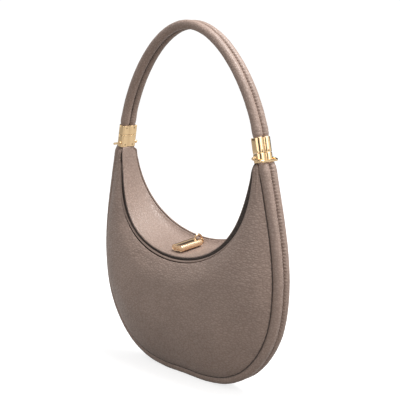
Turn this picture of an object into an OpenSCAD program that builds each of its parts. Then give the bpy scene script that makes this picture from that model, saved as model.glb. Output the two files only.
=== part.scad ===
// Soft crescent shoulder bag with a lid, a padded double-roll carry handle,
// clamped metal ferrules, strap rings and a padlock-shaped charm.
// Millimetres. Origin at the middle of the base, +Z up, front towards -Y.

/* [Body] */
// Width of the body across the side rolls
body_w = 298; // [280:1:316]
// Height of the body up to the ferrules
body_h = 273; // [262:1:284]
// How far each panel swells out from the middle plane
belly = 39; // [34:0.5:42]
// Radius of the padded side rolls
side_r = 5.8; // [5.2:0.1:6]
// Thickness of the panel leather
leather_t = 1.8; // [1.4:0.1:2.2]

/* [Handle] */
// Height of the handle above the ferrules
handle_rise = 123.1; // [105:1:140]
// Radius of each handle roll
handle_r = 5.35; // [4.6:0.05:5.4]

/* [Ferrules] */
// Height of one ferrule
ferrule_h = 27.6; // [26:0.1:30]
// Seam of the left ferrule, measured down from its top
left_seam = 0.43; // [0.4:0.01:0.6]
// Seam of the right ferrule, measured down from its top
right_seam = 0.62; // [0.4:0.01:0.64]
// Bar radius of the strap rings
ring_bar = 1.4; // [1:0.05:1.5]

/* [Charm] */
// Length of the charm body
charm_l = 27; // [24:0.5:29]
// Radius of each barrel of the charm
charm_r = 4.2; // [3.8:0.1:4.3]

/* [Hidden] */

$fn = 40;
kx = body_w / 298;
kz = body_h / 273;
side_y = side_r + 0.05;
handle_y = 5.4;
tilt = 10.9;                       // ferrules lean in at the top
foot_x = 116.5 * kx;               // foot of the ferrule, in the XZ plane
foot_z = body_h;
top_x = foot_x - ferrule_h * sin(tilt);
top_z = foot_z + ferrule_h * cos(tilt);
apex_z = top_z + handle_rise;
flex_z = top_z + 13.9;             // bend line of the handle
lobe_r = 6.2;                      // outer lobes of the ferrule
half_y = handle_y + lobe_r;        // half width of the ferrule

// outline of the side rolls, right half, from the bottom middle up
OUT = [[0, 5.3], [36, 5.3], [70, 11.5], [101, 29], [125, 58], [138.5, 92],
  [143, 136], [139.3, 181], [129, 233], [121.3, 266]];

function unit(v) = v / norm(v);
function mix(a, b, t) = a * (1 - t) + b * t;
function cr(a, b, c, d, f) =
  0.5 * (2 * b + (c - a) * f + (2 * a - 5 * b + 4 * c - d) * f * f
  + (3 * b - a - 3 * c + d) * f * f * f);
function out_at(i) = i < 0 ? [-OUT[-i][0], OUT[-i][1]] :
  i > 9 ? 2 * OUT[9] - OUT[8] : OUT[i];
function half_outline(t) = let (i = min(8, floor(t)), f = t - i)
  cr(out_at(i - 1), out_at(i), out_at(i + 1), out_at(i + 2), f);
// u = -1 at the left ferrule, 0 at the bottom, 1 at the right ferrule
function outline(u) = let (p = half_outline(abs(u) * 9))
  [sign(u) * p[0] * kx, p[1] * kz];
function out_dir(u) = unit(outline(u + 0.004) - outline(u - 0.004));
function out_nrm(u) = let (d = out_dir(u)) [d[1], -d[0]];
function at_roll(u, s, y) = let (c = outline(u), n = out_nrm(u))
  [c[0] + n[0] * s, y, max(0, c[1] + n[1] * s)];

// edges of the mouth
function front_edge(u) = [110.7 * kx * sin(90 * u), -27.3 + 14.4 * u * u,
  (265 - 117.7 * pow(abs(cos(90 * u)) + 0.0001, 0.73)) * kz];
function back_edge(u) = [112 * kx * sin(90 * u), 33 - 17.6 * u * u,
  (266.3 - 101.2 * pow(abs(cos(90 * u)) + 0.0001, 0.85)) * kz];
// unit direction in from the front edge towards the opening
function edge_in(u) = let (d = front_edge(u + 0.004) - front_edge(u - 0.004)) unit([-d[2], 0, d[0]]);

// a panel: v = 0 at the mouth, 1 at the side roll; side is -1 front, 1 back
function panel_pt(u, v, side) = let (
    m = side < 0 ? front_edge(u) : back_edge(u),
    b = at_roll(u, -3, side * (side_y + 6.4)),
    l = norm(m - b),
    swell = (belly - 19.5) * pow(min(1, l / 138), 0.9) * pow(sin(180 * pow(v, 0.92) * 0.999 + 0.05), 0.78))
  mix(m, b, v) + [0, side * swell, 0];
function panel_n(u, v, side) = let (e = 0.01,
    va = max(0.001, v - e), vb = min(0.999, v + e),
    ua = max(-0.999, u - e), ub = min(0.999, u + e),
    n = cross(panel_pt(ub, v, side) - panel_pt(ua, v, side),
              panel_pt(u, vb, side) - panel_pt(u, va, side)))
  unit(n) * (n[1] * side > 0 ? 1 : -1);
function panel_off(u, v, side, d) = panel_pt(u, v, side) - d * panel_n(u, v, side);

// closed solid between two grids of the same size, a outside, b inside
module slab(a, b, flip = false) {
  n = len(a); m = len(a[0]); s = n * m;
  pts = concat([for (r = a) for (p = r) p], [for (r = b) for (p = r) p]);
  top = [for (i = [0 : n - 2]) for (j = [0 : m - 2]) let (q = i * m + j)
    each [[q, q + m, q + m + 1], [q, q + m + 1, q + 1]]];
  bot = [for (f = top) [f[0] + s, f[2] + s, f[1] + s]];
  rim = concat([for (j = [0 : m - 2]) j], [for (i = [0 : n - 2]) i * m + m - 1],
    [for (j = [m - 1 : -1 : 1]) (n - 1) * m + j], [for (i = [n - 1 : -1 : 1]) i * m]);
  k = len(rim);
  side = [for (i = [0 : k - 1]) let (p = rim[i], q = rim[(i + 1) % k])
    each [[p, q, q + s], [p, q + s, p + s]]];
  f = concat(top, bot, side);
  polyhedron(pts, flip ? [for (t = f) [t[0], t[2], t[1]]] : f);
}

// closed solid through a row of rings
module skin(rings, flip = false) {
  n = len(rings); m = len(rings[0]);
  mid = function (r) [for (k = [0 : 2]) let (c = [for (p = r) p[k]]) sum(c) / len(c)];
  pts = concat([for (r = rings) for (p = r) p], [mid(rings[0]), mid(rings[n - 1])]);
  sides = [for (i = [0 : n - 2]) for (j = [0 : m - 1]) let (q = i * m + j, w = i * m + (j + 1) % m)
    each [[q, q + m, w + m], [q, w + m, w]]];
  a = [for (j = [0 : m - 1]) [n * m, j, (j + 1) % m]];
  b = [for (j = [0 : m - 1]) [n * m + 1, (n - 1) * m + (j + 1) % m, (n - 1) * m + j]];
  f = concat(sides, a, b);
  polyhedron(pts, flip ? [for (t = f) [t[0], t[2], t[1]]] : f);
}
function sum(v, i = 0) = i >= len(v) ? 0 : v[i] + sum(v, i + 1);

// open tube between outer and inner rows of rings
module pipe(o, c, flip = false) {
  n = len(o); m = len(o[0]); s = n * m;
  pts = concat([for (r = o) for (p = r) p], [for (r = c) for (p = r) p]);
  sides = [for (i = [0 : n - 2]) for (j = [0 : m - 1]) let (q = i * m + j, w = i * m + (j + 1) % m)
    each [[q, q + m, w + m], [q, w + m, w]]];
  inner = [for (f = sides) [f[0] + s, f[2] + s, f[1] + s]];
  e = (n - 1) * m;
  ends = [for (j = [0 : m - 1]) let (w = (j + 1) % m)
    each [[j, w, w + s], [j, w + s, j + s], [e + j, e + w + s, e + w], [e + j, e + j + s, e + w + s]]];
  f = concat(sides, inner, ends);
  polyhedron(pts, flip ? [for (t = f) [t[0], t[2], t[1]]] : f);
}

// ---------- body shell ----------
NU = 44; NV = 11;
function us(n, k) = [for (i = [0 : n]) k * (2 * i / n - 1)];
module panel(side, d0, d1, n, m, v0, v1, k) {
  a = [for (u = us(n, k)) [for (j = [0 : m]) panel_off(u, v0 + (v1 - v0) * j / m, side, d0)]];
  b = [for (u = us(n, k)) [for (j = [0 : m]) panel_off(u, v0 + (v1 - v0) * j / m, side, d1)]];
  slab(a, b, side > 0);
}
module front_panel() color("tan") panel(-1, 0, leather_t, NU, NV, 0.012, 1, 0.995);
module back_panel() color("tan") panel(1, 0, leather_t, NU, NV, 0.012, 1, 0.995);
module front_lining() color("dimgray") panel(-1, leather_t + 0.3, leather_t + 1.1, 32, 8, 0.03, 0.93, 0.9);
module back_lining() color("dimgray") panel(1, leather_t + 0.3, leather_t + 1.1, 32, 8, 0.03, 0.93, 0.9);
module gusset_lining() color("gray") {
  u = us(40, 0.94);
  slab([for (t = u) [for (y = [-9, -4.5, 0, 4.5, 9]) at_roll(t, -side_r - 0.5, y)]],
       [for (t = u) [for (y = [-9, -4.5, 0, 4.5, 9]) at_roll(t, -side_r - 1.4, y)]], true);
}
function roll_rings(side, r, n, m, k) = [for (u = us(n, k))
  [for (j = [0 : m - 1]) at_roll(u, r * cos(360 * (j + 0.5) / m), side * side_y + r * sin(360 * (j + 0.5) / m))]];
// the last rings run up into the ferrule socket
function neck_ring(s, side, r, m, w) = let (
    z = foot_z + w * cos(tilt), x = foot_x - w * sin(tilt))
  [for (j = [0 : m - 1]) [s * (x + r * cos(360 * (j + 0.5) / m) * cos(tilt)),
    side * handle_y + r * sin(360 * (j + 0.5) / m), z + r * cos(360 * (j + 0.5) / m) * sin(tilt)]];
function bend_ring(s, side, r, m, q) = [for (j = [0 : m - 1])
  mix(at_roll(s * 0.975, r * cos(360 * (j + 0.5) / m), side * side_y + r * sin(360 * (j + 0.5) / m)),
      neck_ring(s, side, r * 0.8, m, 0.2)[j], q)];
function whole_roll(side, r, m, q) = concat([for (w = [q, 0.2]) neck_ring(-1, side, r * 0.8, m, w)],
  [bend_ring(-1, side, r, m, 0.5)], roll_rings(side, r, 51, m, 0.975),
  [bend_ring(1, side, r, m, 0.5)], [for (w = [0.2, q]) neck_ring(1, side, r * 0.8, m, w)]);
module roll(side) pipe(whole_roll(side, side_r, 12, 6), whole_roll(side, side_r - 1.3, 12, 6), true);
module roll_core(side) skin(whole_roll(side, side_r - 1.6, 8, 5.6), true);
module front_roll() color("tan") roll(-1);
module back_roll() color("tan") roll(1);
module front_roll_core() color("ivory") roll_core(-1);
module back_roll_core() color("ivory") roll_core(1);

// turned edges of the mouth: a thin bead along each panel's upper edge
module binding(side) {
  skin([for (u = us(40, 0.96)) let (
      p = panel_pt(u, 0.001, side), q = panel_pt(u, 0.03, side), t = unit(p - q),
      c = p + t * 1.0 - panel_n(u, 0.02, side) * 0.5,
      w = unit(cross(t, side < 0 ? front_edge(u + 0.01) - front_edge(u - 0.01) : back_edge(u + 0.01) - back_edge(u - 0.01))))
    [for (j = [0 : 7]) c + 0.8 * (cos(45 * j) * t + sin(45 * j) * w)]], side > 0);
}
module front_binding() color("sienna") binding(-1);
module back_binding() color("sienna") binding(1);

// ---------- lid ----------
lid_x = 42 * kx;                   // half width of the part that lifts
function ub(x) = asin(x / (112 * kx)) / 90;
function uf(x) = asin(x / (106.1 * kx)) / 90;
// back line and front corner of the lid, d below its upper face
function lid_b(u, d) = let (p = back_edge(u)) [p[0], p[1] - 2.7 + 0.9 * u * u, p[2] - 1.2 - d];
function lid_f(u, d) = let (q = u * u, k = max(1.2, 2.6 - 9 * q + 7.4 * q * q))
  front_edge(u) + edge_in(u) * (5.7 - 1.1 * q + 22.1 * q * q - 24 * q * q * q - d) + [0, k + d, 0];
// lower end of the lid's lip, tucked in behind the front panel
function lid_lip(u, d) = lid_f(u, d) - edge_in(u) * (9 + 1.5 * u * u - d) + [0, 0.6 + 2.6 * u * u, 0];
// the lid lies flat and turns up where it meets the back panel
LT = [0, 0.03, 0.07, 0.14, 0.28, 0.62, 1];
function lid_line(a, b, d) = let (B = lid_b(a, d), F = lid_f(b, d), rise = 6.3 * (1 - a * a))
  [for (t = LT) mix(B, F, t) - [0, 0, rise * (1 - t) * (1 - pow(1 - t, 13))]];
function lid_ring(a, b, d0, d1) = let (
    q = lid_line(a, b, d1))
  concat(lid_line(a, b, d0), [lid_lip(b, d0)], [lid_lip(b, d1)], [for (i = [len(q) - 1 : -1 : 0]) q[i]]);
module ringloft(r, flip) {
  n = len(r); m = len(r[0]);
  pts = [for (q = r) for (p = q) p];
  sides = [for (i = [0 : n - 2]) for (j = [0 : m - 1]) let (q = i * m + j, w = i * m + (j + 1) % m)
    each [[q, q + m, w + m], [q, w + m, w]]];
  h = m / 2;
  cap = [for (j = [0 : h - 2]) each [[j, j + 1, m - 2 - j], [j, m - 2 - j, m - 1 - j]]];
  e = (n - 1) * m;
  f = concat(sides, cap, [for (t = cap) [t[0] + e, t[2] + e, t[1] + e]]);
  polyhedron(pts, flip ? [for (t = f) [t[0], t[2], t[1]]] : f);
}
module lid_part(d0, d1, w, n) ringloft([for (i = [0 : n]) let (x = w * (2 * i / n - 1)) lid_ring(ub(x), uf(x), d0, d1)], false);
module lid_arm(s) {
  x0 = lid_x + 0.5;
  r = [for (i = [0 : 17]) let (t = i / 17) lid_ring(mix(ub(x0), 0.985, t), mix(uf(x0), 0.985, t), 0, 2.6)];
  if (s > 0) ringloft(r, false);
  else ringloft([for (q = r) [for (p = q) [-p[0], p[1], p[2]]]], true);
}
module lid_arm_left() color("tan") lid_arm(-1);
module lid_arm_right() color("tan") lid_arm(1);
module lid_leather() color("peru") lid_part(0, 1.6, lid_x, 16);
module lid_stiffener() color("white") lid_part(1.75, 2.55, lid_x - 3.4, 12);
module lid_lining() color("dimgray") lid_part(2.7, 3.4, lid_x - 3.2, 12);

// ---------- ferrules ----------
module on_ferrule(s) {
  if (s > 0) translate([foot_x, 0, foot_z]) rotate([0, -tilt, 0]) children();
  else mirror([1, 0, 0]) translate([foot_x, 0, foot_z]) rotate([0, -tilt, 0]) children();
}
module ferrule_section() difference() {
  union() {
    for (y = [-handle_y, handle_y]) translate([0, y]) circle(r = lobe_r);
    translate([-4, -half_y]) square([4, 2 * half_y]);
    translate([-6, 2 - half_y]) square([6, 2 * half_y - 4]);
    for (y = [2 - half_y, half_y - 2]) translate([-4, y]) circle(r = 2);
  }
  polygon([[-6.1, -1.3], [-5, 0], [-6.1, 1.3]]);
}
module socket_section() {
  for (y = [-handle_y, handle_y]) translate([0, y]) circle(r = 5);
  translate([-4.8, -9.6]) square([4.8, 19.2]);
}
module screw_holes(z) for (y = [-handle_y, handle_y])
  translate([-6.5, y, z]) rotate([0, 90, 0]) cylinder(r = 1.12, h = 3);
module tongue_slot(z0, h) translate([-3.5, -4.5, z0]) cube([6, 9, h]);
pin_s = -3.2; pin_w = 5.3;
module lower_ferrule(s, seam) on_ferrule(s) {
  h = ferrule_h * (1 - seam) - 0.1;
  difference() {
    linear_extrude(height = h) ferrule_section();
    translate([0, 0, -1]) linear_extrude(height = 8) socket_section();
    screw_holes(2.6);
    tongue_slot(h - 3.2, 4);
    for (y = [-1, 1]) translate([pin_s, y * (half_y + 1), pin_w]) rotate([90, 0, 0]) cylinder(r = 0.8, h = 6.2, center = true);
  }
}
module upper_ferrule(s, seam) on_ferrule(s) {
  z0 = ferrule_h * (1 - seam) + 0.1;
  difference() {
    translate([0, 0, z0]) linear_extrude(height = ferrule_h - z0) ferrule_section();
    translate([0, 0, ferrule_h - 6]) linear_extrude(height = 8) socket_section();
    screw_holes(ferrule_h - 2.6);
    tongue_slot(z0 - 1, 4.2);
  }
}
module tongue(s, seam) on_ferrule(s)
  translate([-3.4, -4.4, ferrule_h * (1 - seam) - 3.2]) cube([5.8, 8.8, 6.4]);
module set_screws(s) on_ferrule(s) for (z = [2.6, ferrule_h - 2.6], y = [-handle_y, handle_y])
  translate([-5.9, y, z]) rotate([0, 90, 0]) difference() {
    cylinder(r = 1.05, h = 1);
    translate([-0.15, -1.2, -0.1]) cube([0.3, 2.4, 0.5]);
  }
module ring_pins(s) on_ferrule(s) for (y = [-1, 1]) translate([pin_s, 0, pin_w]) rotate([y * 90, 0, 0]) {
  translate([0, 0, half_y - 2]) cylinder(r = 0.78, h = 5.4);
  translate([0, 0, half_y + 3.1]) cylinder(r = 1.7, h = 0.7);
}
module lower_ferrule_left() color("gold") lower_ferrule(-1, left_seam);
module lower_ferrule_right() color("gold") lower_ferrule(1, right_seam);
module upper_ferrule_left() color("gold") upper_ferrule(-1, left_seam);
module upper_ferrule_right() color("gold") upper_ferrule(1, right_seam);
module ferrule_tongue_left() color("gray") tongue(-1, left_seam);
module ferrule_tongue_right() color("gray") tongue(1, right_seam);
module set_screws_left() color("khaki") set_screws(-1);
module set_screws_right() color("khaki") set_screws(1);
module ring_pins_left() color("khaki") ring_pins(-1);
module ring_pins_right() color("khaki") ring_pins(1);

// ---------- strap rings ----------
// the loop hangs from its two pins and slopes down and out over the roll
ring_slope = 20.5;
arm_l = 12.4; arm_y = half_y + 1.6;
module strap_ring(s) on_ferrule(s) translate([pin_s, 0, pin_w]) rotate([0, ring_slope, 0]) {
  c = 3;                            // corner radius of the bar's centre line
  difference() {
    union() {
      for (y = [-1, 1]) {
        translate([0, y * arm_y, 0]) rotate([90, 0, 0]) cylinder(r = 2, h = 2, center = true);
        translate([1, y * arm_y, 0]) rotate([0, 90, 0]) cylinder(r = ring_bar, h = arm_l - c - 1);
      }
      translate([arm_l, c - arm_y, 0]) rotate([-90, 0, 0]) cylinder(r = ring_bar, h = 2 * (arm_y - c));
      translate([arm_l - c, arm_y - c, 0]) rotate_extrude(angle = 90) translate([c, 0]) circle(r = ring_bar);
      translate([arm_l - c, c - arm_y, 0]) rotate([0, 0, -90]) rotate_extrude(angle = 90) translate([c, 0]) circle(r = ring_bar);
    }
    rotate([90, 0, 0]) cylinder(r = 0.84, h = 2 * arm_y + 6, center = true);
  }
}
module strap_ring_left() color("gold") strap_ring(-1);
module strap_ring_right() color("gold") strap_ring(1);

// ---------- handle ----------
function bez(a, b, c, d, t) = a * pow(1 - t, 3) + 3 * b * t * pow(1 - t, 2) + 3 * c * t * t * (1 - t) + d * pow(t, 3);
function arch(u) = let (k = handle_rise / 123.1, t = abs(u),
    p = bez([0, apex_z], [53.2 * kx, apex_z], [top_x - 10.8, top_z + 53.4 * k], [top_x, top_z], t))
  [sign(u) * p[0], p[1]];
function solve(a, b, n) = let (m = (a + b) / 2) n == 0 ? m : arch(m)[1] > flex_z ? solve(m, b, n - 1) : solve(a, m, n - 1);
flex_u = solve(0.5, 1, 20);
function arch_nrm(u) = let (d = unit(arch(u + 0.004) - arch(u - 0.004))) [-d[1], d[0]];
function at_arch(u, s, y) = let (c = arch(u), n = arch_nrm(u)) [c[0] + n[0] * s, y, c[1] + n[1] * s];
function arch_rings(side, r, n, m, k) = [for (u = us(n, k))
  [for (j = [0 : m - 1]) at_arch(u, r * cos(360 * j / m), side * handle_y + r * sin(360 * j / m))]];
module handle_roll(side) pipe(arch_rings(side, handle_r, 40, 12, flex_u), arch_rings(side, handle_r - 1.2, 40, 12, flex_u), false);
module handle_core(side) skin(arch_rings(side, handle_r - 1.5, 40, 8, flex_u - 0.004), false);
module handle_front_roll() color("tan") handle_roll(-1);
module handle_back_roll() color("tan") handle_roll(1);
module handle_front_core() color("ivory") handle_core(-1);
module handle_back_core() color("ivory") handle_core(1);
// the narrow seam strip in the groove under the handle
module handle_seam() color("wheat") {
  u = us(44, flex_u - 0.01);
  slab([for (t = u) [for (y = [-1, 0, 1]) at_arch(t, -3.5, y)]],
       [for (t = u) [for (y = [-1, 0, 1]) at_arch(t, -4.3, y)]], false);
}
// squeezed ends of the two rolls, where the handle bends
module handle_end(s) {
  x = mix(arch(flex_u)[0], top_x, 0.45);
  intersection() {
    translate([s * x, 0, flex_z]) rotate([0, 90, 0]) cylinder(r = 9.2, h = 9.4, center = true, $fn = 64);
    translate([s * x - 6, -10, flex_z - 12]) cube([12, 20, 11.2]);
  }
}
module handle_end_left() color("tan") handle_end(-1);
module handle_end_right() color("tan") handle_end(1);
module handle_root(s) on_ferrule(s) for (y = [-handle_y, handle_y]) translate([0, y, ferrule_h - 5.8]) cylinder(r = 4.75, h = 9);
module handle_root_left() color("tan") handle_root(-1);
module handle_root_right() color("tan") handle_root(1);

// ---------- charm ----------
charm_x = -5.5;                    // the charm lies a little left of the middle
lid_s = (lid_line(0, 0, 0)[4][2] - lid_f(0, 0)[2]) / (lid_line(0, 0, 0)[4][1] - lid_f(0, 0)[1]);
lie = atan(lid_s);
function lid_z(y) = lid_f(0, 0)[2] + lid_s * (y - lid_f(0, 0)[1]);
leg_y = 13.8;                      // leg of the shackle that holds the charm
pin_y = 26.2;                      // leg of the shackle that turns in the staple
wire = 1.1;
arch_r = (pin_y - leg_y) / 2;
charm_z = lid_z(leg_y) + charm_r + 0.9;
arch_z = charm_z + 2.9;
staple_z = arch_z - 1.2;
foot_q = lid_line(0, 0, 0);
function lid_top(y) = mix(foot_q[3][2], foot_q[2][2], (y - foot_q[3][1]) / (foot_q[2][1] - foot_q[3][1]));
module charm_staple() color("gold") translate([charm_x, pin_y, 0]) {
  translate([-2.9, 0, staple_z]) rotate([0, 90, 0]) cylinder(r = 0.8, h = 5.8);
  for (x = [-2.6, 1.5]) {
    translate([x, -1.6, staple_z - 3.2]) cube([1.1, 2.2, 3.2]);
    translate([x, 0, staple_z]) rotate([0, 90, 0]) cylinder(r = 1.6, h = 1.1);
  }
  // foot, cut to the slope of the lid where it turns up
  translate([-3.6, 0, 0]) rotate([90, 0, 90]) linear_extrude(height = 7.2) polygon([[-3, lid_top(pin_y - 3) + 0.35],
    [0.3, lid_top(pin_y + 0.3) + 0.35], [0.3, staple_z - 2.1], [-1, staple_z - 2.1], [-3, lid_top(pin_y - 3) + 1.5]]);
}
module charm_shackle() color("gold") translate([charm_x, 0, 0]) {
  translate([0, (leg_y + pin_y) / 2, arch_z]) rotate([90, 0, 90])
    rotate_extrude(angle = 180, $fn = 64) translate([arch_r, 0]) circle(r = wire);
  translate([0, leg_y, charm_z - 2.2]) cylinder(r = wire, h = arch_z - charm_z + 2.2);
  difference() {
    union() {
      translate([0, pin_y, staple_z]) cylinder(r = wire, h = arch_z - staple_z);
      translate([-1.2, pin_y, staple_z]) rotate([0, 90, 0]) cylinder(r = 1.7, h = 2.4);
    }
    translate([-3, pin_y, staple_z]) rotate([0, 90, 0]) cylinder(r = 0.85, h = 6);
  }
}
module charm() color("gold") difference() {
  translate([charm_x, leg_y, charm_z]) rotate([lie, 0, 0]) difference() {
    union() {
      for (x = [-5.1, 5.1]) translate([x, 4.6, 0]) rotate([90, 0, 0]) cylinder(r = charm_r, h = charm_l + 7.4);
      translate([-5.1, -charm_l - 2.8, -3]) cube([10.2, charm_l + 7.4, 6]);
    }
    translate([0, -charm_l - 2, 0]) rotate([90, 0, 0]) cylinder(r = 1.2, h = 8);
  }
  translate([charm_x, leg_y, charm_z - 2.5]) cylinder(r = wire + 0.06, h = 12);
  translate([charm_x, leg_y, arch_z - 0.6]) cylinder(r = wire + 0.5, h = 6);
}

front_panel();
back_panel();
front_lining();
back_lining();
gusset_lining();
front_roll();
back_roll();
front_roll_core();
back_roll_core();
front_binding();
back_binding();
lid_arm_left();
lid_arm_right();
lower_ferrule_left();
lower_ferrule_right();
upper_ferrule_left();
upper_ferrule_right();
ferrule_tongue_left();
ferrule_tongue_right();
set_screws_left();
set_screws_right();
ring_pins_left();
ring_pins_right();
handle_root_left();
handle_root_right();
handle_front_roll();
handle_back_roll();
handle_front_core();
handle_back_core();
handle_seam();
handle_end_left();
handle_end_right();
lid_leather();
lid_stiffener();
lid_lining();
charm_staple();
charm_shackle();
charm();
strap_ring_left();
strap_ring_right();
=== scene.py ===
import math
import bpy
import numpy as np
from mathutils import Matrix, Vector


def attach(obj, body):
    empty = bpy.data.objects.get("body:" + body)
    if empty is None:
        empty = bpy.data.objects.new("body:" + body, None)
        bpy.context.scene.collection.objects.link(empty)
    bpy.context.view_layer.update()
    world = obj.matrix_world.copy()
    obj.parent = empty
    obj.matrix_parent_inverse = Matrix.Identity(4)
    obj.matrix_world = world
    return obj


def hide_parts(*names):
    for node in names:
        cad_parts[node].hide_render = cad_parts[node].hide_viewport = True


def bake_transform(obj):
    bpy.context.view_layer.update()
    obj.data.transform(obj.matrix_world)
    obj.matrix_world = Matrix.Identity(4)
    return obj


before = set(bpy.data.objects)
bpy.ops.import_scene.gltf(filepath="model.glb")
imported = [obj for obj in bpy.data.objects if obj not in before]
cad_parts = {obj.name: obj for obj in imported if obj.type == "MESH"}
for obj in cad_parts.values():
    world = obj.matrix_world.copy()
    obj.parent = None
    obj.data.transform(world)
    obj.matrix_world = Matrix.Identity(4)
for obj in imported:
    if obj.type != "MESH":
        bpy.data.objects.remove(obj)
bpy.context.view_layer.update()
rng = np.random.RandomState(7)
MM = 0.001

# ------------------------------------------------------------------ shape rules (mm), as in the CAD
BODY_H = 273.0
SIDE_R = 5.8
SIDE_Y = SIDE_R + 0.05
HANDLE_R = 5.35
HANDLE_Y = 5.4
TILT = math.radians(10.9)
FOOT = np.array([116.5, 273.0])
FER_H = 27.6
TOP = np.array([FOOT[0] - FER_H * math.sin(TILT), FOOT[1] + FER_H * math.cos(TILT)])
APEX = TOP[1] + 123.1
FLEX = TOP[1] + 13.9
LOBE_R = 6.2
HALF_Y = HANDLE_Y + LOBE_R
BELLY = 39.0
OUT = np.array([[0, 5.3], [36, 5.3], [70, 11.5], [101, 29], [125, 58], [138.5, 92],
                [143, 136], [139.3, 181], [129, 233], [121.3, 266]], float)


def unit(v):
    return v / np.maximum(np.linalg.norm(v, axis=-1, keepdims=True), 1e-9)


def cr(a, b, c, d, f):
    return 0.5 * (2 * b + (c - a) * f + (2 * a - 5 * b + 4 * c - d) * f * f
                  + (3 * b - a - 3 * c + d) * f ** 3)


PTS = np.vstack([[-OUT[1][0], OUT[1][1]], OUT, 2 * OUT[9] - OUT[8], 3 * OUT[9] - 2 * OUT[8]])


def outline(u):
    u = np.asarray(u, float)
    t = np.abs(u) * 9
    i = np.minimum(8, np.floor(t)).astype(int)
    f = (t - i)[..., None]
    p = cr(PTS[i], PTS[i + 1], PTS[i + 2], PTS[i + 3], f)
    return np.stack([np.sign(u) * p[..., 0], p[..., 1]], -1)


def out_nrm(u):
    d = unit(outline(np.asarray(u) + 0.004) - outline(np.asarray(u) - 0.004))
    return np.stack([d[..., 1], -d[..., 0]], -1)


def at_roll(u, s, y):
    c, n = outline(u), out_nrm(u)
    s = np.asarray(s, float) + 0 * c[..., 0]
    return np.stack([c[..., 0] + n[..., 0] * s, np.asarray(y, float) + 0 * s,
                     np.maximum(0, c[..., 1] + n[..., 1] * s)], -1)


def front_edge(u):
    u = np.asarray(u, float)
    return np.stack([110.7 * np.sin(np.pi / 2 * u), -27.3 + 14.4 * u * u,
                     265 - 117.7 * (np.abs(np.cos(np.pi / 2 * u)) + 1e-4) ** 0.73], -1)


def back_edge(u):
    u = np.asarray(u, float)
    return np.stack([112 * np.sin(np.pi / 2 * u), 33 - 17.6 * u * u,
                     266.3 - 101.2 * (np.abs(np.cos(np.pi / 2 * u)) + 1e-4) ** 0.85], -1)


def edge_in(u):
    """unit direction in from the front edge towards the opening"""
    d = front_edge(u + 0.004) - front_edge(u - 0.004)
    return unit(np.stack([-d[..., 2], 0 * d[..., 0], d[..., 0]], -1))


def panel_pt(u, v, side):
    u, v = np.broadcast_arrays(np.asarray(u, float), np.asarray(v, float))
    m = front_edge(u) if side < 0 else back_edge(u)
    b = at_roll(u, -3, side * (SIDE_Y + 6.4))
    ln = np.linalg.norm(m - b, axis=-1)
    vv = np.clip(v, 0, 1)
    swell = (BELLY - 19.5) * np.minimum(1, ln / 138) ** 0.9 \
        * np.maximum(0, np.sin(np.radians(180 * vv ** 0.92 * 0.999 + 0.05))) ** 0.78
    p = m * (1 - v[..., None]) + b * v[..., None]
    p[..., 1] += side * swell
    return p


def lid_b(u):
    p = back_edge(u)
    return p + np.stack([0 * u, -2.7 + 0.9 * u * u, -1.2 + 0 * u], -1)


def lid_f(u):
    u = np.asarray(u, float)
    q = u * u
    k = np.maximum(1.2, 2.6 - 9 * q + 7.4 * q * q)
    p = front_edge(u) + edge_in(u) * (5.7 - 1.1 * q + 22.1 * q * q - 24 * q ** 3)[..., None]
    p[..., 1] += k
    return p


def to_ferrule(A, x_t, y_t, z_t, rows=9, squeeze=0.25, y_scale=None):
    """carry both ends of a grid on, up to the foot of the ferrules, rounding off as they go"""
    out = [A]
    for end in (0, -1):
        base = A[end]
        sg = 1.0 if end == -1 else -1.0
        xc = sg * x_t
        ext = []
        for e in np.linspace(0, 1, rows + 1)[1:]:
            k = 1 - (1 - squeeze) * (1 - math.sqrt(max(0.0, 1 - e * e)))
            mid = base[:, 0].mean()
            x = (mid + (xc - mid) * e) + (base[:, 0] - mid) * k
            y = base[:, 1] * (1 - e * e * (1 - y_scale)) if y_scale is not None else base[:, 1] + (y_t - base[:, 1]) * e * e
            z = base[:, 2] + (z_t - base[:, 2]) * e
            ext.append(np.stack([x, y, z], -1))
        ext = np.array(ext)
        if end == -1:
            out.append(ext)
        else:
            out.insert(0, ext[::-1])
    return np.concatenate(out, 0)


def waves(p, scale, seed, n=10):
    """smooth pseudo-random field, about -1 to 1, from sums of sines over points p (mm)"""
    r = np.random.RandomState(seed)
    out = np.zeros(p.shape[:-1])
    for _ in range(n):
        k = r.normal(size=3)
        k *= (0.6 + 0.8 * r.rand()) * 2 * np.pi / scale / np.linalg.norm(k)
        out += np.sin(p @ k + r.rand() * 6.283)
    return out / math.sqrt(n / 2) * 0.6


# ------------------------------------------------------------------ mesh helpers
def mesh_obj(name, verts, faces, mat=None, smooth=True, uv=None):
    me = bpy.data.meshes.new(name)
    v = np.asarray(verts, float).reshape(-1, 3) * MM
    me.from_pydata([tuple(x) for x in v], [], [tuple(int(i) for i in f) for f in faces])
    me.validate(); me.update()
    ob = bpy.data.objects.new(name, me)
    bpy.context.scene.collection.objects.link(ob)
    if smooth:
        me.polygons.foreach_set("use_smooth", [True] * len(me.polygons))
    if mat:
        me.materials.append(mat)
    fix_normals(me)
    return ob


def fix_normals(me):
    import bmesh
    bm = bmesh.new(); bm.from_mesh(me)
    bmesh.ops.recalc_face_normals(bm, faces=bm.faces)
    bm.to_mesh(me); bm.free(); me.update()


def grid_faces(n, m, off=0, wrap=False, flip=False):
    f = []
    for i in range(n - 1):
        for j in range(m if wrap else m - 1):
            a, b = off + i * m + j, off + i * m + (j + 1) % m
            q = (a, a + m, b + m, b)
            f.append(q[::-1] if flip else q)
    return f


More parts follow.
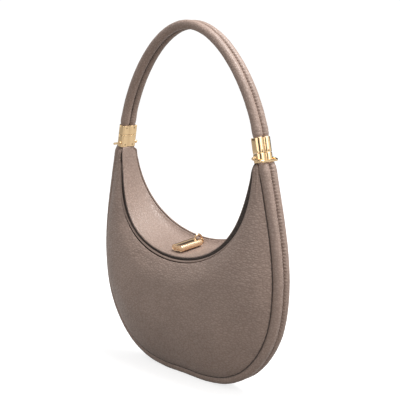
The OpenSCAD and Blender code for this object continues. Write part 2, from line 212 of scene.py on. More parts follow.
def shell(name, outer, inner, mat):
    """closed shell between two grids of one size"""
    n, m = outer.shape[:2]
    s = n * m
    f = grid_faces(n, m) + grid_faces(n, m, s, flip=True)
    rim = [j for j in range(m - 1)] + [i * m + m - 1 for i in range(n - 1)] \
        + [(n - 1) * m + j for j in range(m - 1, 0, -1)] + [i * m for i in range(n - 1, 0, -1)]
    for a, b in zip(rim, rim[1:] + rim[:1]):
        f.append((a, b, b + s, a + s))
    return mesh_obj(name, np.concatenate([outer.reshape(-1, 3), inner.reshape(-1, 3)]), f, mat)


def loft(name, rings, mat, closed_ends=True, loop=False, smooth=True):
    """closed solid through rings (n, m, 3)"""
    n, m = rings.shape[:2]
    f = grid_faces(n, m, wrap=True)
    v = rings.reshape(-1, 3)
    if loop:
        for j in range(m):
            a, b = (n - 1) * m + j, (n - 1) * m + (j + 1) % m
            f.append((a, j, (j + 1) % m, b))
    elif closed_ends:
        v = np.vstack([v, rings[0].mean(0), rings[-1].mean(0)])
        for j in range(m):
            f.append((n * m, j, (j + 1) % m))
            f.append((n * m + 1, (n - 1) * m + (j + 1) % m, (n - 1) * m + j))
    return mesh_obj(name, v, f, mat, smooth)


def grid_normals(g):
    a = np.gradient(g, axis=0)
    b = np.gradient(g, axis=1)
    return unit(np.cross(a, b))


def resample(p, step):
    d = np.r_[0, np.cumsum(np.linalg.norm(np.diff(p, axis=0), axis=1))]
    n = int(d[-1] / step) + 1
    t = np.linspace(0, d[-1], n)
    return np.stack([np.interp(t, d, p[:, k]) for k in range(p.shape[1])], -1), t


def join(name, parts, mat, smooth=True):
    """one object from many (verts, faces) pairs"""
    V, F, o = [], [], 0
    for v, f in parts:
        V.append(np.asarray(v)); F += [tuple(i + o for i in q) for q in f]; o += len(v)
    return mesh_obj(name, np.vstack(V), F, mat, smooth)


def capsule(a, b, r, up, m=8, flat=0.6):
    """a short stitch from a to b, arched a little along up"""
    a, b, up = np.array(a, float), np.array(b, float), np.array(up, float)
    d = unit(b - a); up = unit(up - d * (up @ d)); w = np.cross(d, up)
    rings = []
    for t, k in ((0, 0.25), (0.06, 0.7), (0.2, 1), (0.5, 1.05), (0.8, 1), (0.94, 0.7), (1, 0.25)):
        c = a + (b - a) * t + up * r * 0.9 * math.sin(math.pi * t)
        ang = np.linspace(0, 2 * np.pi, m, endpoint=False)
        rings.append(c + r * k * (np.cos(ang)[:, None] * w + flat * np.sin(ang)[:, None] * up))
    R = np.array(rings); n = len(R)
    f = grid_faces(n, m, wrap=True)
    f.append(tuple(range(m))[::-1]); f.append(tuple((n - 1) * m + j for j in range(m)))
    return R.reshape(-1, 3), f


# ------------------------------------------------------------------ materials
def new_mat(name):
    m = bpy.data.materials.new(name)
    m.use_nodes = True
    nt = m.node_tree
    nt.nodes.clear()
    out = nt.nodes.new("ShaderNodeOutputMaterial")
    b = nt.nodes.new("ShaderNodeBsdfPrincipled")
    nt.links.new(b.outputs[0], out.inputs[0])
    return m, nt, b


def N(nt, kind, **kw):
    n = nt.nodes.new(kind)
    for k, v in kw.items():
        if k in n.inputs.keys() if hasattr(n.inputs, "keys") else False:
            n.inputs[k].default_value = v
        else:
            setattr(n, k, v)
    return n


def math_node(nt, op, a, b=None, clamp=False):
    n = nt.nodes.new("ShaderNodeMath"); n.operation = op; n.use_clamp = clamp
    for i, x in enumerate((a, b)):
        if x is None:
            continue
        if isinstance(x, (int, float)):
            n.inputs[i].default_value = x
        else:
            nt.links.new(x, n.inputs[i])
    return n.outputs[0]


def mix_rgb(nt, fac, a, b, mode="MIX"):
    n = nt.nodes.new("ShaderNodeMix"); n.data_type = "RGBA"; n.blend_type = mode
    for i, x in ((0, fac), (6, a), (7, b)):
        if isinstance(x, (int, float)):
            n.inputs[i].default_value = x
        elif isinstance(x, tuple):
            n.inputs[i].default_value = (*x, 1)
        else:
            nt.links.new(x, n.inputs[i])
    return n.outputs[2]


def leather(name, base, dark, stretch=(0.62, 0.62, 1.15), grain=1.0, bump=0.85, rough=0.46, wrinkle=0.4):
    m, nt, b = new_mat(name)
    tc = nt.nodes.new("ShaderNodeTexCoord")
    mp = nt.nodes.new("ShaderNodeMapping")
    mp.inputs["Scale"].default_value = stretch
    nt.links.new(tc.outputs["Object"], mp.inputs[0])
    # bend the grain's rows with a slow noise
    nz = nt.nodes.new("ShaderNodeTexNoise"); nz.inputs["Scale"].default_value = 120 * grain
    nz.inputs["Detail"].default_value = 1
    nt.links.new(mp.outputs[0], nz.inputs["Vector"])
    va = nt.nodes.new("ShaderNodeVectorMath"); va.operation = "MULTIPLY_ADD"
    nt.links.new(nz.outputs["Color"], va.inputs[0])
    va.inputs[1].default_value = (0.0032, 0.0032, 0.0032)
    nt.links.new(mp.outputs[0], va.inputs[2])
    vo = nt.nodes.new("ShaderNodeTexVoronoi"); vo.feature = "SMOOTH_F1"
    vo.inputs["Scale"].default_value = 340 * grain
    vo.inputs["Smoothness"].default_value = 0.9
    nt.links.new(va.outputs[0], vo.inputs["Vector"])
    ve = nt.nodes.new("ShaderNodeTexVoronoi"); ve.feature = "DISTANCE_TO_EDGE"
    ve.inputs["Scale"].default_value = 340 * grain
    nt.links.new(va.outputs[0], ve.inputs["Vector"])
    fine = nt.nodes.new("ShaderNodeTexNoise"); fine.inputs["Scale"].default_value = 2600 * grain
    fine.inputs["Detail"].default_value = 3
    nt.links.new(tc.outputs["Object"], fine.inputs["Vector"])
    slow = nt.nodes.new("ShaderNodeTexNoise"); slow.inputs["Scale"].default_value = 22
    slow.inputs["Detail"].default_value = 3
    nt.links.new(tc.outputs["Object"], slow.inputs["Vector"])
    mid = nt.nodes.new("ShaderNodeTexNoise"); mid.inputs["Scale"].default_value = 190 * grain
    mid.inputs["Detail"].default_value = 1; mid.inputs["Roughness"].default_value = 0.4
    nt.links.new(va.outputs[0], mid.inputs["Vector"])
    edge = nt.nodes.new("ShaderNodeMapRange")
    edge.inputs["From Min"].default_value = 0.0; edge.inputs["From Max"].default_value = 0.24
    edge.inputs["To Min"].default_value = 0.0; edge.inputs["To Max"].default_value = 1.0
    edge.interpolation_type = "SMOOTHSTEP"
    nt.links.new(ve.outputs["Distance"], edge.inputs[0])
    dome = math_node(nt, "SUBTRACT", 1.0, vo.outputs["Distance"])
    h = math_node(nt, "MULTIPLY", dome, 0.55)
    h = math_node(nt, "ADD", h, math_node(nt, "MULTIPLY", edge.outputs[0], 0.22))
    h = math_node(nt, "ADD", h, math_node(nt, "MULTIPLY", mid.outputs[0], wrinkle))
    h = math_node(nt, "ADD", h, math_node(nt, "MULTIPLY", fine.outputs[0], 0.03))
    bp = nt.nodes.new("ShaderNodeBump")
    bp.inputs["Strength"].default_value = bump
    bp.inputs["Distance"].default_value = 0.0008
    nt.links.new(h, bp.inputs["Height"])
    nt.links.new(bp.outputs[0], b.inputs["Normal"])
    # colour: darker in the valleys, slow patches, little speckle
    valley = math_node(nt, "MULTIPLY", edge.outputs[0], 0.85)
    valley = math_node(nt, "ADD", valley, math_node(nt, "MULTIPLY", mid.outputs[0], 0.25), clamp=True)
    col = mix_rgb(nt, valley, dark, base)
    patch = nt.nodes.new("ShaderNodeMapRange")
    patch.inputs["From Min"].default_value = 0.3; patch.inputs["From Max"].default_value = 0.7
    patch.inputs["To Min"].default_value = 0.93; patch.inputs["To Max"].default_value = 1.06
    nt.links.new(slow.outputs[0], patch.inputs[0])
    cc = nt.nodes.new("ShaderNodeVectorMath"); cc.operation = "SCALE"
    nt.links.new(col, cc.inputs[0]); nt.links.new(patch.outputs[0], cc.inputs["Scale"])
    nt.links.new(cc.outputs[0], b.inputs["Base Color"])
    rr = nt.nodes.new("ShaderNodeMapRange")
    rr.inputs["To Min"].default_value = rough + 0.12; rr.inputs["To Max"].default_value = rough - 0.06
    nt.links.new(edge.outputs[0], rr.inputs[0])
    nt.links.new(rr.outputs[0], b.inputs["Roughness"])
    b.inputs["Specular IOR Level"].default_value = 0.5
    b.inputs["Sheen Weight"].default_value = 0.02
    b.inputs["Sheen Roughness"].default_value = 0.5
    return m


def metal(name, color, rough=0.13, bump=0.01):
    m, nt, b = new_mat(name)
    tc = nt.nodes.new("ShaderNodeTexCoord")
    nz = nt.nodes.new("ShaderNodeTexNoise"); nz.inputs["Scale"].default_value = 220
    nz.inputs["Detail"].default_value = 3
    nt.links.new(tc.outputs["Object"], nz.inputs["Vector"])
    mp = nt.nodes.new("ShaderNodeMapping"); mp.inputs["Scale"].default_value = (1, 1, 0.06)
    nt.links.new(tc.outputs["Object"], mp.inputs[0])
    br = nt.nodes.new("ShaderNodeTexNoise"); br.inputs["Scale"].default_value = 1800
    br.inputs["Detail"].default_value = 2
    nt.links.new(mp.outputs[0], br.inputs["Vector"])
    rr = nt.nodes.new("ShaderNodeMapRange")
    rr.inputs["From Min"].default_value = 0.3; rr.inputs["From Max"].default_value = 0.7
    rr.inputs["To Min"].default_value = rough * 0.92; rr.inputs["To Max"].default_value = rough * 1.12
    nt.links.new(nz.outputs[0], rr.inputs[0]); nt.links.new(rr.outputs[0], b.inputs["Roughness"])
    col = mix_rgb(nt, nz.outputs[0], tuple(c * 0.94 for c in color), color)
    nt.links.new(col, b.inputs["Base Color"])
    bp = nt.nodes.new("ShaderNodeBump"); bp.inputs["Strength"].default_value = bump
    bp.inputs["Distance"].default_value = 0.0001
    nt.links.new(br.outputs[0], bp.inputs["Height"]); nt.links.new(bp.outputs[0], b.inputs["Normal"])
    b.inputs["Metallic"].default_value = 1.0
    return m


def fabric(name, a, c, scale=900, rough=0.85):
    m, nt, b = new_mat(name)
    tc = nt.nodes.new("ShaderNodeTexCoord")
    w = nt.nodes.new("ShaderNodeTexWave"); w.wave_type = "BANDS"; w.bands_direction = "DIAGONAL"
    w.inputs["Scale"].default_value = scale; w.inputs["Distortion"].default_value = 0.6
    w.inputs["Detail"].default_value = 1
    nt.links.new(tc.outputs["Object"], w.inputs["Vector"])
    nz = nt.nodes.new("ShaderNodeTexNoise"); nz.inputs["Scale"].default_value = 300
    nz.inputs["Detail"].default_value = 4
    nt.links.new(tc.outputs["Object"], nz.inputs["Vector"])
    f = math_node(nt, "ADD", math_node(nt, "MULTIPLY", w.outputs["Fac"], 0.6),
                  math_node(nt, "MULTIPLY", nz.outputs[0], 0.4), clamp=True)
    nt.links.new(mix_rgb(nt, f, a, c), b.inputs["Base Color"])
    bp = nt.nodes.new("ShaderNodeBump"); bp.inputs["Strength"].default_value = 0.5
    bp.inputs["Distance"].default_value = 0.0003
    nt.links.new(f, bp.inputs["Height"]); nt.links.new(bp.outputs[0], b.inputs["Normal"])
    b.inputs["Roughness"].default_value = rough
    b.inputs["Sheen Weight"].default_value = 0.25
    return m


def thread(name, a, c):
    m = fabric(name, a, c, scale=2600, rough=0.6)
    return m


BASE, DARK = (0.372, 0.272, 0.226), (0.285, 0.204, 0.167)
M_PANEL = leather("leather_panel", BASE, DARK)
M_ROLL = leather("leather_roll", BASE, DARK, stretch=(0.8, 0.8, 1.0), bump=0.6)
M_LID = leather("leather_lid", BASE, DARK, stretch=(0.7, 1.1, 0.7), bump=0.75)
M_HANDLE = leather("leather_handle", BASE, DARK, stretch=(0.85, 0.85, 1.0), bump=0.5)
M_EDGE = leather("leather_edge", tuple(c * 0.86 for c in BASE), DARK, grain=1.25, bump=0.3, rough=0.46, wrinkle=0.3)
# near-black leather for the lid's lip below its rolled corner: painted shade, standing for the dark gap between the
# lid and the mouth's edge
M_LIP_PAINTED_SHADE = leather("leather_lip_painted_shade", (0.052, 0.036, 0.028), (0.03, 0.02, 0.016), grain=1.2, bump=0.2, rough=0.6, wrinkle=0.2)
M_SEAM = leather("leather_seam_strip", tuple(c * 0.55 for c in DARK), tuple(c * 0.3 for c in DARK), grain=1.3, bump=0.25, wrinkle=0.2)
M_GOLD = metal("polished_gold", (0.95, 0.69, 0.40), 0.15)
M_GOLD2 = metal("polished_gold_charm", (0.93, 0.66, 0.42), 0.2)
M_SCREW = metal("gold_screw", (0.20, 0.125, 0.065), 0.3)
M_STEEL = metal("hidden_steel", (0.6, 0.6, 0.6), 0.3)
M_LINING = fabric("lining_twill", (0.018, 0.016, 0.015), (0.06, 0.054, 0.05))
M_FILL = fabric("roll_filler", (0.62, 0.6, 0.54), (0.8, 0.78, 0.72), scale=400)
M_BOARD = fabric("lid_board", (0.55, 0.5, 0.42), (0.66, 0.6, 0.5), scale=200)
M_THREAD = thread("thread_dark", (0.10, 0.075, 0.06), (0.19, 0.145, 0.12))
# dark cord colour: painted shade for the shadow line in the groove between panel and roll
M_SEAM_SHADOW_CORD = thread("seam_shadow_cord_dark", (0.045, 0.030, 0.022), (0.085, 0.060, 0.046))
M_THREAD2 = thread("thread_light", (0.36, 0.29, 0.24), (0.52, 0.43, 0.36))


# ------------------------------------------------------------------ panels
def panel(name, side, nodes):
    nu, nv = 460, 104
    u = np.linspace(-0.996, 0.996, nu)[:, None]
    v = np.linspace(0, 1, nv) ** 1.0
    v = 0.5 - 0.5 * np.cos(np.pi * (0.06 + 0.94 * v))       # finer near the side seam
    v = (v - v[0]) / (v[-1] - v[0])
    v = 0.012 + v * 0.988
    g = panel_pt(u, v[None, :], side)
    n = grid_normals(g)
    n *= np.where(n[..., 1:2] * side > 0, 1, -1)
    # soft leather: slow swells, fading to nothing at the seams
    fade = np.clip((1 - v) / 0.12, 0, 1) * np.clip((v - 0.01) / 0.1, 0, 1)
    fade = (fade * fade * (3 - 2 * fade))[None, :]
    ln = np.linalg.norm(panel_pt(u, np.array([[0.0]]), side) - panel_pt(u, np.array([[1.0]]), side), axis=-1)
    k = np.clip(ln / 90, 0, 1)
    d = 0.45 * waves(g, 70, 3 + side) * k + 0.16 * waves(g, 26, 9 + side) * k
    # gathers that run down from the top corners
    a = np.abs(u)
    gath = np.exp(-((1 - a) / 0.10) ** 2)
    d = d * fade + 0.35 * gath * np.sin(v[None, :] * 2 * np.pi * 3.2 + 2 * waves(g, 30, 21)) * fade
    # small puckers along the side seam
    arc = np.r_[0, np.cumsum(np.linalg.norm(np.diff(outline(u[:, 0]), axis=0), axis=1))]
    near = np.exp(-((1 - v) / 0.035) ** 2)[None, :]
    d = d + 0.16 * near * np.sin(arc / 9.5 * 2 * np.pi + 1.5 * np.sin(arc / 31))[:, None]
    if side < 0:
        # soft fold under the mouth
        fu = np.ravel(u)[:, None]; fv = np.ravel(v)[None, :]
        d = d + 1.7 * np.exp(-((fv - 0.17) / 0.10) ** 2) * np.exp(-(fu / 0.55) ** 4) \
            - 0.5 * np.exp(-((fv - 0.42) / 0.13) ** 2) * np.exp(-(fu / 0.6) ** 4)
    g = g + n * d[..., None]
    # the edge rounds off and turns in against the roll, which makes the seam's groove
    pull = np.clip((v - 0.945) / 0.055, 0, 1)
    g[..., 1] -= side * (1.55 * pull ** 2.2)[None, :]
    turn = [(-3.35, 4.35), (-3.9, 3.6), (-4.6, 2.7)]
    rows = [at_roll(u[:, 0], s, side * (SIDE_Y + y)) for s, y in turn]
    g2 = np.concatenate([g, np.stack(rows, 1)], 1)
    nn = grid_normals(g2)
    nn[:, :nv] = np.where(nn[:, :nv, 1:2] * side > 0, nn[:, :nv], -nn[:, :nv])
    thick = np.full(g2.shape[1], 1.8)
    thick[-3:] = (1.5, 1.0, 0.6)
    back = g2.copy()
    back[:, :nv] -= nn[:, :nv] * thick[None, :nv, None]
    # inner side of the turned edge
    for i, (s, y) in enumerate(turn):
        back[:, nv + i] = at_roll(u[:, 0], s - thick[nv + i], side * (SIDE_Y + y - 0.6))
    back[..., 2] = np.maximum(back[..., 2], 0.4)
    g2 = to_ferrule(g2, 113.6, side * 9.2, 271.3)
    back = to_ferrule(back, 113.4, side * 8.2, 270.9)
    ob = shell(name, g2, back, M_PANEL)
    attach(ob, "bag"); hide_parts(*nodes)
    return ob


panel("panel_front", -1, ["front_panel"])
panel("panel_back", 1, ["back_panel"])


# ------------------------------------------------------------------ lining
def lining(name, side, node):
    nu, nv = 140, 40
    u = np.linspace(-0.93, 0.93, nu)[:, None]
    v = np.linspace(0.075, 0.95, nv)[None, :]
    g = panel_pt(u, v, side)
    n = grid_normals(g); n = np.where(n[..., 1:2] * side > 0, n, -n)
    d = 2.5 + 0.35 * (1 + waves(g, 34, 40 + side)) * np.sin(np.pi * (v - 0.075) / 0.875)
    a = g - n * d[..., None]
    b = g - n * (d + 0.35)[..., None]
    ob = shell(name, a, b, M_LINING)
    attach(ob, "bag"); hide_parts(node)
    return ob


lining("lining_front", -1, "front_lining")
lining("lining_back", 1, "back_lining")


def lining_gusset():
    u = np.linspace(-0.94, 0.94, 260)
    y = np.linspace(-10.5, 10.5, 15)
    g = [0.2 * (1 + np.sin(u * 34 + 0.06 * k)) for k in y]
    a = np.stack([at_roll(u, -SIDE_R - 0.6 - w, k) for k, w in zip(y, g)], 1)
    b = np.stack([at_roll(u, -SIDE_R - 0.95 - w, k) for k, w in zip(y, g)], 1)
    ob = shell("lining_gusset", a, b, M_LINING)
    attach(ob, "bag"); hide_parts("gusset_lining")


# ------------------------------------------------------------------ rolls
def section(m, n_in=2.7):
    """unit lobe section: s outward, y away from the middle plane; fuller towards its twin"""
    th = np.linspace(0, 2 * np.pi, m, endpoint=False)
    c, s = np.cos(th), np.sin(th)
    e = np.where(s < 0, 2 / n_in, 1.0)
    return th, np.sign(c) * np.abs(c) ** e, np.sign(s) * np.abs(s) ** e


def sweep_roll(path, L, R, yc, side, m, dents=0.0, pitch=3.8, creases=(), floor=False, n_in=2.7, both=False, seed=1):
    """path (n,2) in XZ, R and yc per point. Returns rings (n,m,3)."""
    t = unit(np.gradient(path, axis=0))
    nrm = np.stack([t[:, 1], -t[:, 0]], -1)
    th, s, y = section(m, n_in)
    R = R[:, None] * np.ones(m)
    rad = R.copy()
    if dents:
        for th0 in ((2 * np.pi - 0.86,) if not both else (2 * np.pi - 0.86, np.pi + 0.86)):
            dth = (th - th0 + np.pi) % (2 * np.pi) - np.pi
            w = np.exp(-(dth / 0.42) ** 2)[None, :]
            ph = 2 * np.pi * L[:, None] / pitch + 1.6 * dth[None, :] * (1 if th0 > 4 else -1)
            rad = rad - dents * w * (0.5 + 0.5 * np.cos(ph)) ** 2.2
    for pos, width, depth, th_c, spread in creases:
        d = (L[:, None] - pos - 0.9 * np.sin(th + th_c)[None, :]) / width
        w = np.exp(-(((th - th_c + np.pi) % (2 * np.pi) - np.pi) / spread) ** 2)[None, :]
        rad = rad - depth * np.exp(-d ** 2) * w + 0.45 * depth * np.exp(-((np.abs(d) - 1.7) / 0.8) ** 2) * w
    P = np.empty((len(path), m, 3))
    P[..., 0] = path[:, 0:1] + nrm[:, 0:1] * rad * s[None, :]
    P[..., 2] = path[:, 1:2] + nrm[:, 1:2] * rad * s[None, :]
    P[..., 1] = side * (yc[:, None] + np.minimum(rad * y[None, :], 99))
    # never past the middle plane
    P[..., 1] = np.where(side * P[..., 1] < 0.04, side * 0.04, P[..., 1])
    wob = 0.10 * waves(P, 17, seed) + 0.05 * waves(P, 7, seed + 1)
    P[..., 0] += nrm[:, 0:1] * wob * s
    P[..., 2] += nrm[:, 1:2] * wob * s
    if floor:
        P[..., 2] = np.maximum(P[..., 2], 0.0)
    return P


def ferrule_pt(s, w):
    """(x, z) on the right ferrule: s outward, w up its axis"""
    return np.array([FOOT[0] + s * math.cos(TILT) - w * math.sin(TILT),
                     FOOT[1] + s * math.sin(TILT) + w * math.cos(TILT)])


def body_path(step=0.8, w=6.5):
    half = outline(np.linspace(0, 0.972, 700))
    neck = [ferrule_pt(2.55, -2.2), ferrule_pt(0.9, 0.2), ferrule_pt(0.25, 2.2), ferrule_pt(0, w)]
    # smooth the neck with a spline through the last points
    tail = np.vstack([half[-1], neck])
    q = np.vstack([2 * tail[0] - tail[1], tail, 2 * tail[-1] - tail[-2]])
    pts = [half]
    for i in range(1, len(q) - 2):
        f = np.linspace(0, 1, 14)[1:, None]
        pts.append(cr(q[i - 1], q[i], q[i + 1], q[i + 2], f))
    r = np.vstack(pts)
    full = np.vstack([r[::-1] * [-1, 1], r[1:]])
    return resample(full, step)


def body_roll(name, side, nodes):
    path, L = body_path()
    tot = L[-1]
    e = np.minimum(L, tot - L)                      # distance from the nearer end
    neck = np.clip((e - 6.0) / 9.0, 0, 1); neck = neck * neck * (3 - 2 * neck)
    R = 4.65 + (SIDE_R - 4.65) * neck + 0.28 * np.exp(-((e - 17) / 8) ** 2)
    yc = HANDLE_Y + (SIDE_Y - HANDLE_Y) * neck + 0.12 * np.exp(-((e - 17) / 8) ** 2)
    R = R - 0.0
    cre = []
    r = np.random.RandomState(11 + side)
    for k in range(7):
        for end in (0, 1):
            p = 12 + 4.2 * k + 1.5 * r.rand()
            cre.append((p if end == 0 else tot - p, 0.9 + 0.5 * r.rand(), 0.22 * math.exp(-k / 4) , r.rand() * 2 - 1.0, 1.1))
    P = sweep_roll(path, L, R, yc, side, 40, dents=0.8, creases=cre, floor=True, seed=31 + side)
    ob = loft(name, P, M_ROLL)
    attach(ob, "bag"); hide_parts(*nodes)
    # filler rod inside
    keep = (e > 7)
    C = sweep_roll(path[keep][::3], L[keep][::3], (R[keep] - 1.6)[::3], yc[keep][::3], side, 18, n_in=2.0, seed=51 + side)
    co = loft(name.replace("roll", "filler"), C, M_FILL)
    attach(co, "bag")
    return ob, co


_, cf = body_roll("roll_front", -1, ["front_roll"]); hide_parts("front_roll_core")
_, cb = body_roll("roll_back", 1, ["back_roll"]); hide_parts("back_roll_core")
lining_gusset()


def arch(u):
    t = np.abs(np.asarray(u, float))[..., None]
    p = np.array([0, APEX]) * (1 - t) ** 3 + 3 * np.array([53.2, APEX]) * t * (1 - t) ** 2 \
        + 3 * np.array([TOP[0] - 10.8, TOP[1] + 53.4]) * t * t * (1 - t) + TOP * t ** 3
    return np.stack([np.sign(u) * p[..., 0], p[..., 1]], -1)


def handle_path(step=0.8, w=6.0):
    a = arch(np.linspace(-1, 1, 1200))
    neck = np.array([ferrule_pt(0, FER_H - k) for k in np.linspace(0.4, w, 12)])
    full = np.vstack([(neck * [-1, 1])[::-1], a, neck])
    # even out the small bend where the arch meets the ferrule
    p, L = resample(full, step)
    for _ in range(4):
        p[1:-1] = (p[:-2] + 2 * p[1:-1] + p[2:]) / 4
    return p, L


def handle_roll(name, side, nodes, core):
    path, L = handle_path()
    path = path[::-1]          # left to right runs anticlockwise, so the outside of the arch is +s
    tot = L[-1]
    e = np.minimum(L, tot - L)
    neck = np.clip((e - 5.6) / 4.0, 0, 1); neck = neck * neck * (3 - 2 * neck)
    R = 4.7 + (HANDLE_R - 4.7) * neck + 0.25 * np.exp(-((e - 14) / 6) ** 2)
    yc = np.full(len(L), HANDLE_Y) + 0.1 * np.exp(-((e - 14) / 6) ** 2)
    cre = []
    r = np.random.RandomState(5 + side)
    for k in range(9):
        for end in (0, 1):
            p = 9.5 + 3.6 * k + 1.6 * r.rand()
            cre.append((p if end == 0 else tot - p, 0.8 + 0.5 * r.rand(), 0.26 * math.exp(-k / 4.5), r.rand() * 2.4 - 1.2, 1.0))
    for k in range(26):                # finer wrinkles on the inside of the bend
        cre.append((tot * (0.12 + 0.76 * r.rand()), 0.9 + 0.8 * r.rand(), 0.08, math.pi + r.rand() - 0.5, 0.8))
    P = sweep_roll(path, L, R, yc, side, 36, dents=0.6, creases=cre, both=True, seed=61 + side)
    ob = loft(name, P, M_HANDLE)
    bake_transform(ob)
    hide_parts(*nodes)
    C = sweep_roll(path[6:-6:3], L[6:-6:3], (R - 1.5)[6:-6:3], yc[6:-6:3], side, 16, n_in=2.0, seed=71 + side)
    co = loft(name.replace("roll", "filler"), C, M_FILL)
    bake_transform(co)
    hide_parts(core)


handle_roll("handle_roll_front", -1, ["handle_front_roll", "handle_root_left", "handle_end_left"], "handle_front_core")
handle_roll("handle_roll_back", 1, ["handle_back_roll", "handle_root_right", "handle_end_right"], "handle_back_core")


def strip_and_stitches(name, path, L, s_strip, s_st, width, lo, hi, mat, pitch=3.8, r=0.34, flip=1):
    """a narrow seam strip in the groove with a row of sunken stitches"""
    t = unit(np.gradient(path, axis=0)); n = np.stack([t[:, 1], -t[:, 0]], -1)
    keep = (L > lo) & (L < hi)
    p, q, l, tt = path[keep], n[keep], L[keep], t[keep]
    ys = np.linspace(-width, width, 5)
    a = np.stack([np.stack([p[:, 0] + q[:, 0] * (s_strip - flip * 0.25 * (y / width) ** 2), y + 0 * l,
                            p[:, 1] + q[:, 1] * (s_strip - flip * 0.25 * (y / width) ** 2)], -1) for y in ys], 1)
    b = a - flip * 0.7 * np.stack([q[:, 0], 0 * l, q[:, 1]], -1)[:, None, :]
    strip = shell(name, a, b, mat)
    parts = []
    for x in np.arange(lo + pitch / 2, hi - pitch / 2, pitch):
        i = int(np.argmin(np.abs(L - x)))
        c = path[i] + n[i] * s_st; d = t[i] * pitch * 0.33
        A = (c[0] - d[0], 0.0, c[1] - d[1]); B = (c[0] + d[0], 0.0, c[1] + d[1])
        parts.append(capsule(A, B, r, (flip * n[i][0], 0, flip * n[i][1])))
    st = join(name + "_stitches", parts, M_THREAD)
    return strip, st


bp_, bL = body_path()
s1, s2 = strip_and_stitches("side_seam", bp_, bL, 2.5, 2.85, 1.3, 9, bL[-1] - 9, M_EDGE)
for o in (s1, s2):
    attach(o, "bag")
hp, hL = handle_path(); hp = hp[::-1]
s3, s4 = strip_and_stitches("handle_seam_top", hp, hL, 2.3, 2.6, 1.2, 8, hL[-1] - 8, M_EDGE)
s5, s6 = strip_and_stitches("handle_seam_under", hp, hL, -3.9, -4.0, 1.0, 12, hL[-1] - 12, M_SEAM, flip=-1, r=0.3)
for o in (s3, s4, s5, s6):
    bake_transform(o)
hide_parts("handle_seam")


# ------------------------------------------------------------------ bindings of the mouth
# a dark cord laid in the groove where each panel meets its roll: painted shade, standing for the groove's shadow line,
# not a real piping
def seam_shadow_cord(name, side):
    u = np.linspace(-0.985, 0.985, 520)
    th = np.linspace(0, 2 * np.pi, 10, endpoint=False)
    y0 = SIDE_Y + 5.3
    P = np.stack([at_roll(u, -3.5 + 1.0 * math.cos(t), side * (y0 + 1.0 * math.sin(t))) for t in th], 1)
    P[..., 2] = np.maximum(P[..., 2], 0.5)
    ob = loft(name, P, M_SEAM_SHADOW_CORD)
    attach(ob, "bag")


seam_shadow_cord("seam_shadow_cord_front", -1)
seam_shadow_cord("seam_shadow_cord_back", 1)


def binding(name, side, node, h, w, lift):
    u = np.linspace(-0.975, 0.975, 420)
    p = panel_pt(u, 0.001, side); q = panel_pt(u, 0.03, side)
    t = unit(p - q)
    edge = front_edge if side < 0 else back_edge
    al = unit(edge(u + 0.01) - edge(u - 0.01))
    nrm = np.cross(t, al); nrm = np.where(nrm[:, 1:2] * side > 0, nrm, -nrm); nrm = unit(nrm)
    c = p + t * lift - nrm * 0.75
    th = np.linspace(0, 2 * np.pi, 20, endpoint=False)
    cx, sx = np.cos(th), np.sin(th)
    ex = 2 / 2.8
    a = np.sign(cx) * np.abs(cx) ** ex * h; b = np.sign(sx) * np.abs(sx) ** ex * w
    taper = np.clip((1 - np.abs(u)) / 0.05, 0.35, 1)
    P = c[:, None, :] + t[:, None, :] * (a[None, :, None] * taper[:, None, None]) + nrm[:, None, :] * (b[None, :, None] * taper[:, None, None])
    ob = loft(name, P, M_EDGE if side < 0 else M_LID)
    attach(ob, "bag"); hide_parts(node)
    return ob


binding("binding_front", -1, "front_binding", 1.35, 1.05, 0.6)
binding("binding_back", 1, "back_binding", 0.9, 1.0, -0.5)


# ------------------------------------------------------------------ lid
def lid_surface(u, t):
    """upper face of the lid: t = 0 at the back, 1 at the front corner"""
    B, F = lid_b(u), lid_f(u)
    rise = 6.3 * (1 - u * u)
    P = B * (1 - t[..., None]) + F * t[..., None]
    P[..., 2] -= rise * (1 - t) * (1 - (1 - t) ** 13)
    return P


